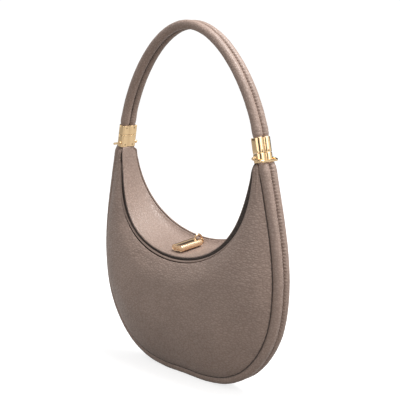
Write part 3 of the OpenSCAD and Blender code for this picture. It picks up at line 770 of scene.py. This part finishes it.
def lid():
    nu = 520
    u = np.linspace(-0.985, 0.985, nu)
    ts = np.r_[np.linspace(0, 0.12, 12), np.linspace(0.14, 0.965, 44)]
    U, T = np.meshgrid(u, ts, indexing="ij")
    top = lid_surface(U, T)
    k = np.clip(1 - U * U, 0, 1)
    fade = np.sin(np.pi * np.clip(T, 0, 1)) * k
    top[..., 2] += (0.35 * waves(top, 48, 77) + 0.12 * waves(top, 18, 78)) * fade
    F = lid_f(u)
    nin = edge_in(u)
    ln = 9 + 1.5 * u * u
    # the front corner rolls over softly and runs down behind the mouth's edge
    k = np.clip(1 - u * u, 0, 1)
    r1 = 2.3 - 0.5 * u * u
    rollv = []
    for a in np.radians([12, 26, 40, 54, 68, 80, 90]):
        rollv.append(F + nin * (-(r1 * (1 - np.cos(a))))[:, None]
                     + np.stack([0 * u, -(r1 * np.sin(a) * 0.55), 0 * u], -1))
    last = rollv[-1]
    lips = [last - nin * ((ln - r1) * x)[:, None] + np.stack([0 * u, (r1 * 0.55 + 0.6 + 2.6 * u * u) * x, 0 * u], -1)
            for x in (0.12, 0.3, 0.5, 0.75, 1.0)]
    out = np.concatenate([top, np.stack(rollv, 1), np.stack(lips, 1)], 1)
    n = grid_normals(out)
    n = np.where((n[..., 2:3] > 0) | (n[..., 1:2] < -0.5), n, -n)
    inn = out - n * 1.7
    nt = top.shape[1] + len(rollv)
    # one side of the sheet only: the lip's inner face lies further back and in
    for j in range(nt - 2, out.shape[1]):
        inn[:, j] = out[:, j] + nin * 0.5 + np.array([0, 1.6, 0])
    inn[:, :, 1] = np.minimum(inn[:, :, 1], out[:, :1, 1] - 0.1)
    far = [A.copy() for A in (out, inn)]
    out2 = to_ferrule(out, 111.2, 0, 272.0, y_scale=0.74, squeeze=0.2)
    inn2 = to_ferrule(inn, 112.0, 0, 271.4, y_scale=0.70, squeeze=0.2)
    cut = nt - 3
    ob = shell("lid_skin", out2[:, :cut + 1], inn2[:, :cut + 1], M_LID)
    # the lip rows get the near-black leather: painted shade for the gap under the lid's front corner
    lp = shell("lid_lip", out2[:, cut:], inn2[:, cut:], M_LIP_PAINTED_SHADE)
    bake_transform(ob)
    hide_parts("lid_leather", "lid_arm_left", "lid_arm_right")
    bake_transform(lp)
    # lining under it
    sel = slice(2, top.shape[1] + 2)
    mid = slice(int(nu * 0.5 - 62), int(nu * 0.5 + 62))
    last_top = top.shape[1] - 1
    a = (out - n * 1.95)[mid, 3:last_top]; b = (out - n * 2.9)[mid, 3:last_top]
    lo = shell("lid_lining_skin", a[::2, ::2], b[::2, ::2], M_LINING)
    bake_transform(lo)
    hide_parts("lid_lining", "lid_stiffener")
    # stitches just behind the front corner
    parts = []
    for t0, off in ((0.955, 1),):
        uu = np.linspace(-0.955, 0.955, 3000)
        line = lid_surface(uu, np.full_like(uu, t0) - 0.03 * 0)
        # keep a fixed distance from the corner
        F2, B2 = lid_f(uu), lid_b(uu)
        span = np.linalg.norm(F2 - B2, axis=1)
        tt = 1 - 3.0 / span
        line = lid_surface(uu, tt)
        d = np.r_[0, np.cumsum(np.linalg.norm(np.diff(line, axis=0), axis=1))]
        x = np.arange(2, d[-1] - 2, 2.7)
        for c in x:
            A = np.array([np.interp(c - 0.85, d, line[:, i]) for i in range(3)])
            B = np.array([np.interp(c + 0.85, d, line[:, i]) for i in range(3)])
            parts.append(capsule(A + [0, 0, 0.02], B + [0, 0, 0.02], 0.3, (0, -0.2, 1)))
    st = join("lid_stitches", parts, M_THREAD2)
    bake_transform(st)
    return ob


lid()


# ------------------------------------------------------------------ ferrules
def fer_section(inset=0.0, m=96):
    """outline of the double-lobed section, s outward, y across; inset shrinks it"""
    pts = []
    R = LOBE_R - inset
    hy = HALF_Y - inset
    # right lobe from the groove round to the flat side, then the inner face with its groove
    y0 = HANDLE_Y
    a0 = math.asin(min(1, (HANDLE_Y - 0.55) / R))
    for a in np.linspace(-a0, math.pi / 2, 30):
        pts.append((R * math.cos(a), y0 + R * math.sin(a)))
    for k in np.linspace(0.15, 1, 6):
        pts.append((-4.0 * k + inset * 0.0, hy))
    c = (-4.0, hy - 2.0)
    rr = 2.0
    for a in np.linspace(math.pi / 2, math.pi, 9)[1:]:
        pts.append((c[0] + (rr - 0 * inset) * math.cos(a) * (1 if True else 1) + 0, c[1] + rr * math.sin(a)))
    x = -6.0 + inset
    pts = [(max(p[0], x), p[1]) for p in pts]
    for yy in np.linspace(hy - 2.6, 1.6, 10):
        pts.append((x + 0.5 * ((yy - 5.2) / 3.9) ** 2, yy))
    pts.append((x + 0.45, 1.35)); pts.append((x + 1.1, 0.7)); pts.append((x + 1.7, 0.12))
    half = np.array(pts)
    other = (half * [1, -1])[::-1]
    return np.vstack([half, other])


def fer_world(s, y, w, sg):
    x = FOOT[0] + s * math.cos(TILT) - w * math.sin(TILT)
    z = FOOT[1] + s * math.sin(TILT) + w * math.cos(TILT)
    return np.stack([sg * x, y + 0 * x, z], -1)


def ferrule_half(name, sg, w0, w1, node, open_low, open_high):
    rings = []
    def ring(inset, w):
        p = fer_section(inset)
        rings.append(fer_world(p[:, 0], p[:, 1], w, sg))
    # inner mouth, rounded rim, wall, rounded rim, inner mouth
    wall = 1.15
    if open_low:
        ring(wall, w0 + 6); ring(wall, w0 + 0.35); ring(wall - 0.2, w0 + 0.1); ring(wall - 0.45, w0)
    else:
        ring(4.0, w0 + 0.4); ring(0.9, w0 + 0.4)
    for i, d in ((0.45, 0), (0.28, 0.05), (0.13, 0.16), (0.04, 0.32), (0, 0.5)):
        ring(i, w0 + d)
    for k in np.linspace(0, 1, 5)[1:-1]:
        ring(0, w0 + 0.5 + (w1 - w0 - 1.0) * k)
    for i, d in ((0, 0.5), (0.04, 0.32), (0.13, 0.16), (0.28, 0.05), (0.45, 0)):
        ring(i, w1 - d)
    if open_high:
        ring(wall - 0.45, w1); ring(wall - 0.2, w1 - 0.1); ring(wall, w1 - 0.35); ring(wall, w1 - 6)
    else:
        ring(0.9, w1 - 0.4); ring(4.0, w1 - 0.4)
    ob = loft(name, np.array(rings), M_GOLD)
    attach(ob, "bag"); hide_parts(node)
    return ob


def lathe(center, axis, prof, m=32, x_axis=None):
    """solid of revolution: prof rows are (along, radius)"""
    axis = unit(np.array(axis, float))
    ref = np.array([0, 0, 1.0]) if abs(axis[2]) < 0.9 else np.array([1.0, 0, 0])
    e1 = unit(np.cross(axis, ref)); e2 = np.cross(axis, e1)
    th = np.linspace(0, 2 * np.pi, m, endpoint=False)
    R = np.array([np.array(center) + axis * a + r * (np.cos(th)[:, None] * e1 + np.sin(th)[:, None] * e2) for a, r in prof])
    f = grid_faces(len(prof), m, wrap=True)
    v = R.reshape(-1, 3)
    n = len(prof)
    f.append(tuple(range(m))[::-1]); f.append(tuple((n - 1) * m + j for j in range(m)))
    return v, f


for sg, side, seam in ((-1, "left", 0.43), (1, "right", 0.62)):
    cut = FER_H * (1 - seam)
    ferrule_half("ferrule_low_" + side, sg, 0, cut - 0.12, "lower_ferrule_" + side, True, False)
    ferrule_half("ferrule_high_" + side, sg, cut + 0.12, FER_H, "upper_ferrule_" + side, False, True)
    # screws: sunk, dished heads on the flat inner face
    parts = []
    ax = np.array([-sg * math.cos(TILT), 0, -math.sin(TILT)])
    for w in (2.9, FER_H - 2.9):
        for y in (-HANDLE_Y - 0.6, HANDLE_Y + 0.6):
            c = fer_world(np.array([-6.0]), np.array([y]), w, sg)[0]
            parts.append(lathe(c - ax * 0.5, ax, [(0, 1.05), (0.42, 1.1), (0.56, 1.06), (0.62, 0.9), (0.55, 0.62), (0.36, 0.5), (0.3, 0.2)], 24))
    sc = join("screws_" + side, parts, M_SCREW)
    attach(sc, "bag"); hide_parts("set_screws_" + side)
    # rivets that carry the strap ring
    parts = []
    for y in (-1, 1):
        c = fer_world(np.array([-3.2]), np.array([y * (HALF_Y - 1.5)]), 5.3, sg)[0]
        parts.append(lathe(c, (0, y, 0), [(0, 0.78), (4.6, 0.78), (4.62, 1.5), (4.75, 1.68), (5.05, 1.64), (5.25, 1.2), (5.3, 0.5)], 28))
        parts.append(lathe(c, (0, y, 0), [(1.35, 2.3), (1.62, 2.3), (1.78, 2.15), (1.82, 1.6)], 28))
    rv = join("ring_rivets_" + side, parts, M_GOLD)
    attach(rv, "bag"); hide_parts("ring_pins_" + side)


# strap rings: a flat-sided bail with eyes, swept in the ring's own plane
def strap_ring(sg, side):
    slope = math.radians(20.5)
    arm, ay, c = 12.4, HALF_Y + 1.6, 3.0
    line = []
    for x in np.linspace(0.6, arm - c, 7):
        line.append((x, -ay))
    for a in np.linspace(-90, 0, 10)[1:]:
        line.append((arm - c + c * math.cos(math.radians(a)), -ay + c + c * math.sin(math.radians(a))))
    half = np.array(line)
    full = np.vstack([half, (half * [1, -1])[::-1]])
    t = unit(np.gradient(full, axis=0)); n = np.stack([t[:, 1], -t[:, 0]], -1)
    th = np.linspace(0, 2 * np.pi, 20, endpoint=False)
    ex = 2 / 2.6
    cx = np.sign(np.cos(th)) * np.abs(np.cos(th)) ** ex * 1.38
    sx = np.sign(np.sin(th)) * np.abs(np.sin(th)) ** ex * 1.4
    rings = []
    for p, q in zip(full, n):
        a = p[0] + q[0] * cx; y = p[1] + q[1] * cx; h = sx
        s = -3.2 + a * math.cos(slope) + h * math.sin(slope)
        w = 5.3 - a * math.sin(slope) + h * math.cos(slope)
        rings.append(fer_world(s, y, w, sg))
    V = np.array(rings)
    f = grid_faces(len(V), 20, wrap=True)
    f.append(tuple(range(20))[::-1]); f.append(tuple((len(V) - 1) * 20 + j for j in range(20)))
    parts = [(V.reshape(-1, 3), f)]
    for y in (-1, 1):
        c0 = fer_world(np.array([-3.2]), np.array([y * (ay - 1.0)]), 5.3, sg)[0]
        # an eye with its hole
        prof = [(0.15, 0.9), (0, 1.05), (0, 1.85), (0.2, 2.05), (1.8, 2.05), (2.0, 1.85), (2.0, 1.05), (1.85, 0.9)]
        v, ff = lathe(c0, (0, y, 0), prof, 28)
        ff = ff[:-2]
        n_ = len(prof)
        for j in range(28):
            ff.append(((n_ - 1) * 28 + j, (n_ - 1) * 28 + (j + 1) % 28, (j + 1) % 28, j))
        parts.append((v, ff))
    ob = join("strap_bail_" + side, parts, M_GOLD)
    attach(ob, "ring_" + side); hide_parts("strap_ring_" + side)


strap_ring(-1, "left")
strap_ring(1, "right")

# ------------------------------------------------------------------ charm
CX = -5.5
u0 = np.array([0.0])
lidF = lid_f(u0)[0]
lid4 = lid_surface(u0, np.array([0.28]))[0]
LS = (lid4[2] - lidF[2]) / (lid4[1] - lidF[1])
LIE = math.atan(LS)
lidz = lambda y: lidF[2] + LS * (y - lidF[1])
LEG, PIN, WIRE = 13.8, 26.2, 1.1
CHZ = lidz(LEG) + 4.2 + 0.9
ARZ = CHZ + 2.9
STZ = ARZ - 1.2


def charm():
    r, sep, length = 4.2, 5.1, 27 + 7.4
    def ring(inset, y):
        R = r - inset
        pts = []
        a0 = math.acos(min(1, (sep - 0.0) / R)) if sep < R else 0.0
        # figure of eight: two barrels with a waist between them
        for a in np.linspace(-math.pi * 0.69, math.pi * 0.69, 34):
            pts.append((sep + R * math.cos(a), R * math.sin(a)))
        half = np.array(pts)
        other = half * [-1, -1]
        P = np.vstack([half, other])
        c, s = math.cos(LIE), math.sin(LIE)
        x = P[:, 0]; z = P[:, 1]
        return np.stack([CX + x, LEG + y * c - z * s, CHZ + y * s + z * c], -1)
    y1, y0 = 4.6, 4.6 - length
    seq = [(1.15, y1 - 0.5), (0.9, y1 - 0.5), (0.75, y1), (0.3, y1), (0.12, y1 - 0.1), (0, y1 - 0.35), (0, y1 - 0.6)]
    seq += [(0, y1 + (y0 - y1) * k) for k in (0.05, 0.2, 0.35, 0.5, 0.65, 0.8, 0.95)]
    seq += [(0, y0 + 0.7)]
    seq += [(0, y0 + 0.35), (0.12, y0 + 0.1), (0.3, y0), (0.75, y0), (0.9, y0 + 0.5), (1.15, y0 + 0.5)]
    body = np.array([ring(a, b) for a, b in seq])
    ob = loft("charm_barrels", body, M_GOLD2)
    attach(ob, "charm"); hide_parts("charm")
    # round, dished plate on the end and collar round the shackle's leg
    c, s = math.cos(LIE), math.sin(LIE)
    ax = np.array([0, -c, -s])
    e = np.array([CX, LEG + (y0 + 0.4) * c, CHZ + (y0 + 0.4) * s])
    parts = [lathe(e - ax * 0.1, ax, [(0, 1.6), (0.3, 1.6), (0.42, 1.45), (0.42, 0.95), (0.2, 0.8), (0.1, 0.5)], 28)]
    parts.append(lathe((CX, LEG, CHZ + 2.2), (0, 0, 1), [(0, 2.1), (1.1, 2.05), (1.35, 1.9), (1.4, 1.3)], 28))
    o2 = join("charm_collar", parts, M_GOLD2)
    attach(o2, "charm")


charm()


def shackle():
    r = (PIN - LEG) / 2
    cy = (PIN + LEG) / 2
    line = [(LEG, CHZ - 2.2 + k * (ARZ - CHZ + 2.2)) for k in (0, 0.35, 0.7)]
    line += [(cy - r * math.cos(a), ARZ + r * math.sin(a)) for a in np.linspace(0, math.pi, 33)]
    line += [(PIN, ARZ - k) for k in (0.5, 1.0, 1.6)]
    L = np.array(line); t = unit(np.gradient(L, axis=0)); n = np.stack([t[:, 1], -t[:, 0]], -1)
    th = np.linspace(0, 2 * np.pi, 20, endpoint=False)
    wr = WIRE * 1.12
    rings = np.array([np.stack([CX + wr * np.cos(th), p[0] + q[0] * wr * np.sin(th), p[1] + q[1] * wr * np.sin(th)], -1) for p, q in zip(L, n)])
    f = grid_faces(len(L), 20, wrap=True)
    f.append(tuple(range(20))[::-1]); f.append(tuple((len(L) - 1) * 20 + j for j in range(20)))
    parts = [(rings.reshape(-1, 3), f)]
    prof = [(0.1, 0.9), (0, 1.0), (0, 1.5), (0.15, 1.7), (2.25, 1.7), (2.4, 1.5), (2.4, 1.0), (2.3, 0.9)]
    v, ff = lathe((CX - 1.2, PIN, STZ), (1, 0, 0), prof, 28)
    ff = ff[:-2]
    for j in range(28):
        ff.append((7 * 28 + j, 7 * 28 + (j + 1) % 28, (j + 1) % 28, j))
    parts.append((v, ff))
    ob = join("shackle", parts, M_GOLD2)
    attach(ob, "charm_shackle"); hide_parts("charm_shackle")


shackle()


def box_part(lo, hi, r=0.25):
    """box with chamfered edges from a superellipse-like ring loft along X"""
    lo, hi = np.array(lo, float), np.array(hi, float)
    def rect(inset, x):
        y0, y1, z0, z1 = lo[1] + inset, hi[1] - inset, lo[2] + inset, hi[2] - inset
        k = r * 0.7
        return np.array([(x, y0 + k, z0), (x, y1 - k, z0), (x, y1, z0 + k), (x, y1, z1 - k), (x, y1 - k, z1), (x, y0 + k, z1), (x, y0, z1 - k), (x, y0, z0 + k)])
    R = np.array([rect(r, lo[0]), rect(0, lo[0] + r), rect(0, hi[0] - r), rect(r, hi[0])])
    f = grid_faces(4, 8, wrap=True)
    f.append(tuple(range(8))[::-1]); f.append(tuple(24 + j for j in range(8)))
    return R.reshape(-1, 3), f


parts = [lathe((CX - 2.9, PIN, STZ), (1, 0, 0), [(-0.25, 0.5), (-0.15, 0.8), (0, 0.85), (5.8, 0.85), (5.95, 0.8), (6.05, 0.5)], 24)]
for x in (-2.6, 1.5):
    parts.append(box_part((CX + x, PIN - 1.6, STZ - 3.0), (CX + x + 1.1, PIN + 0.6, STZ), 0.2))
    parts.append(lathe((CX + x, PIN, STZ), (1, 0, 0), [(0, 1.4), (0.15, 1.6), (0.95, 1.6), (1.1, 1.4)], 28))
q2, q3 = (lid_surface(u0, np.array([t]))[0] for t in (0.07, 0.14))
ltop = lambda y: q3[2] + (q2[2] - q3[2]) * (y - q3[1]) / (q2[1] - q3[1])
sec = np.array([[-3, ltop(PIN - 3) + 0.35], [0.3, ltop(PIN + 0.3) + 0.35], [0.3, STZ - 2.1], [-1, STZ - 2.1], [-3, ltop(PIN - 3) + 1.5]])
cen = sec.mean(0)
rings = []
for x, k in ((-3.6, 0.86), (-3.4, 1.0), (3.4, 1.0), (3.6, 0.86)):
    p = cen + (sec - cen) * k
    rings.append(np.stack([CX + x + 0 * p[:, 0], PIN + p[:, 0], p[:, 1]], -1))
f = grid_faces(4, 5, wrap=True)
f.append(tuple(range(5))[::-1]); f.append(tuple(15 + j for j in range(5)))
parts.append((np.array(rings).reshape(-1, 3), f))
so = join("staple", parts, M_GOLD2, smooth=False)
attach(so, "lid"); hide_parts("charm_staple")

# ------------------------------------------------------------------ CAD nodes that stay
for name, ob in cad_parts.items():
    mat = M_STEEL if "tongue" in name else M_LINING
    ob.data.materials.clear(); ob.data.materials.append(mat)

# ------------------------------------------------------------------ room, light and camera
def flat_mat(name, c, rough=0.9):
    m, nt, b = new_mat(name)
    tc = nt.nodes.new("ShaderNodeTexCoord"); nz = nt.nodes.new("ShaderNodeTexNoise")
    nz.inputs["Scale"].default_value = 3
    nt.links.new(tc.outputs["Object"], nz.inputs["Vector"])
    nt.links.new(mix_rgb(nt, nz.outputs[0], tuple(x * 0.99 for x in c), c), b.inputs["Base Color"])
    b.inputs["Roughness"].default_value = rough
    b.inputs["Specular IOR Level"].default_value = 0.1
    return m


fm, fnt, fb = new_mat("pale_floor")
fb.inputs["Base Color"].default_value = (0.5, 0.5, 0.5, 1)
fb.inputs["Roughness"].default_value = 0.95
fb.inputs["Specular IOR Level"].default_value = 0.05
fb.inputs["Emission Color"].default_value = (1, 1, 1, 1)
fb.inputs["Emission Strength"].default_value = 0.75
fd = fnt.nodes.new("ShaderNodeBsdfDiffuse"); fd.inputs[0].default_value = (0.22, 0.21, 0.20, 1)
flp = fnt.nodes.new("ShaderNodeLightPath")
fmx = fnt.nodes.new("ShaderNodeMixShader")
fout = [n for n in fnt.nodes if n.bl_idname == "ShaderNodeOutputMaterial"][0]
fnt.links.new(math_node(fnt, "MAXIMUM", flp.outputs["Is Camera Ray"], math_node(fnt, "MULTIPLY", flp.outputs["Is Glossy Ray"], 0.34)), fmx.inputs[0])
fnt.links.new(fd.outputs[0], fmx.inputs[1]); fnt.links.new(fb.outputs[0], fmx.inputs[2])
fnt.links.new(fmx.outputs[0], fout.inputs[0])
me = bpy.data.meshes.new("floor")
me.from_pydata([(-6, -6, 0), (6, -6, 0), (6, 6, 0), (-6, 6, 0)], [], [(0, 1, 2, 3)])
me.materials.append(fm)
fl = bpy.data.objects.new("floor", me)
fl.location = (0, 0, -0.0004)
bpy.context.scene.collection.objects.link(fl)

sc = bpy.context.scene
sc.view_settings.view_transform = "Standard"
sc.view_settings.look = "None"
sc.view_settings.exposure = 0
sc.view_settings.gamma = 1

w = bpy.data.worlds.new("studio")
sc.world = w
w.use_nodes = True
nt = w.node_tree
nt.nodes.clear()
out = nt.nodes.new("ShaderNodeOutputWorld")
bg1 = nt.nodes.new("ShaderNodeBackground"); bg1.inputs[1].default_value = 1.0     # what the rest sees
bg2 = nt.nodes.new("ShaderNodeBackground"); bg2.inputs[0].default_value = (1, 1, 1, 1); bg2.inputs[1].default_value = 1.05
lp = nt.nodes.new("ShaderNodeLightPath")
mx = nt.nodes.new("ShaderNodeMixShader")
nt.links.new(lp.outputs["Is Camera Ray"], mx.inputs[0])
nt.links.new(bg1.outputs[0], mx.inputs[1]); nt.links.new(bg2.outputs[0], mx.inputs[2])
nt.links.new(mx.outputs[0], out.inputs[0])
tc = nt.nodes.new("ShaderNodeTexCoord")
sep = nt.nodes.new("ShaderNodeSeparateXYZ")
nt.links.new(tc.outputs["Generated"], sep.inputs[0])
az = math_node(nt, "ARCTAN2", sep.outputs[1], sep.outputs[0])
# soft boxes and dark gaps round the room, for the metal to mirror
band = math_node(nt, "SINE", math_node(nt, "ADD", math_node(nt, "MULTIPLY", az, 2.0), 0.5))
band2 = math_node(nt, "SINE", math_node(nt, "ADD", math_node(nt, "MULTIPLY", az, 5.0), 3.6))
f = math_node(nt, "ADD", math_node(nt, "MULTIPLY", band, 0.5), math_node(nt, "MULTIPLY", band2, 0.45))
ramp = nt.nodes.new("ShaderNodeMapRange"); ramp.interpolation_type = "SMOOTHSTEP"
ramp.inputs["From Min"].default_value = -0.05; ramp.inputs["From Max"].default_value = 0.22
ramp.inputs["To Min"].default_value = 0.035; ramp.inputs["To Max"].default_value = 0.95
nt.links.new(f, ramp.inputs[0])
up = nt.nodes.new("ShaderNodeMapRange"); up.interpolation_type = "SMOOTHSTEP"
up.inputs["From Min"].default_value = 0.35; up.inputs["From Max"].default_value = 0.85
up.inputs["To Min"].default_value = 0.0; up.inputs["To Max"].default_value = 1.0
nt.links.new(sep.outputs[2], up.inputs[0])
lvl = nt.nodes.new("ShaderNodeMix"); lvl.data_type = "FLOAT"
nt.links.new(up.outputs[0], lvl.inputs[0]); nt.links.new(ramp.outputs[0], lvl.inputs[2]); lvl.inputs[3].default_value = 0.62
nt.links.new(lvl.outputs[0], bg1.inputs[0])


def area(name, loc, target, size, power, color=(1, 1, 1)):
    l = bpy.data.lights.new(name, "AREA")
    l.shape = "RECTANGLE"; l.size, l.size_y = size
    l.energy = power; l.color = color
    o = bpy.data.objects.new(name, l)
    o.location = loc
    o.rotation_euler = (Vector(target) - Vector(loc)).to_track_quat("-Z", "Y").to_euler()
    sc.collection.objects.link(o)
    return o


area("top_box", (0.45, 0.35, 1.5), (0, 0, 0.15), (0.9, 0.9), 27)
area("right_box", (1.4, 0.1, 0.9), (0, 0, 0.2), (0.7, 0.9), 5, (1, 0.99, 0.97))
area("front_fill", (0.5, -1.9, 0.55), (0, 0, 0.12), (1.2, 1.0), 5.5)

cam = bpy.data.cameras.new("camera")
cam.sensor_width = 36
cam.lens = 872.96 / 400 * 36
cam.clip_start = 0.01
co = bpy.data.objects.new("camera", cam)
A, E, D = math.radians(44.543), math.radians(10.004), 1.035
T = Vector((0.01738, 0, 0.21866))
co.location = T + D * Vector((math.sin(A) * math.cos(E), -math.cos(A) * math.cos(E), math.sin(E)))
co.rotation_euler = (T - co.location).to_track_quat("-Z", "Y").to_euler()
sc.collection.objects.link(co)
sc.camera = co
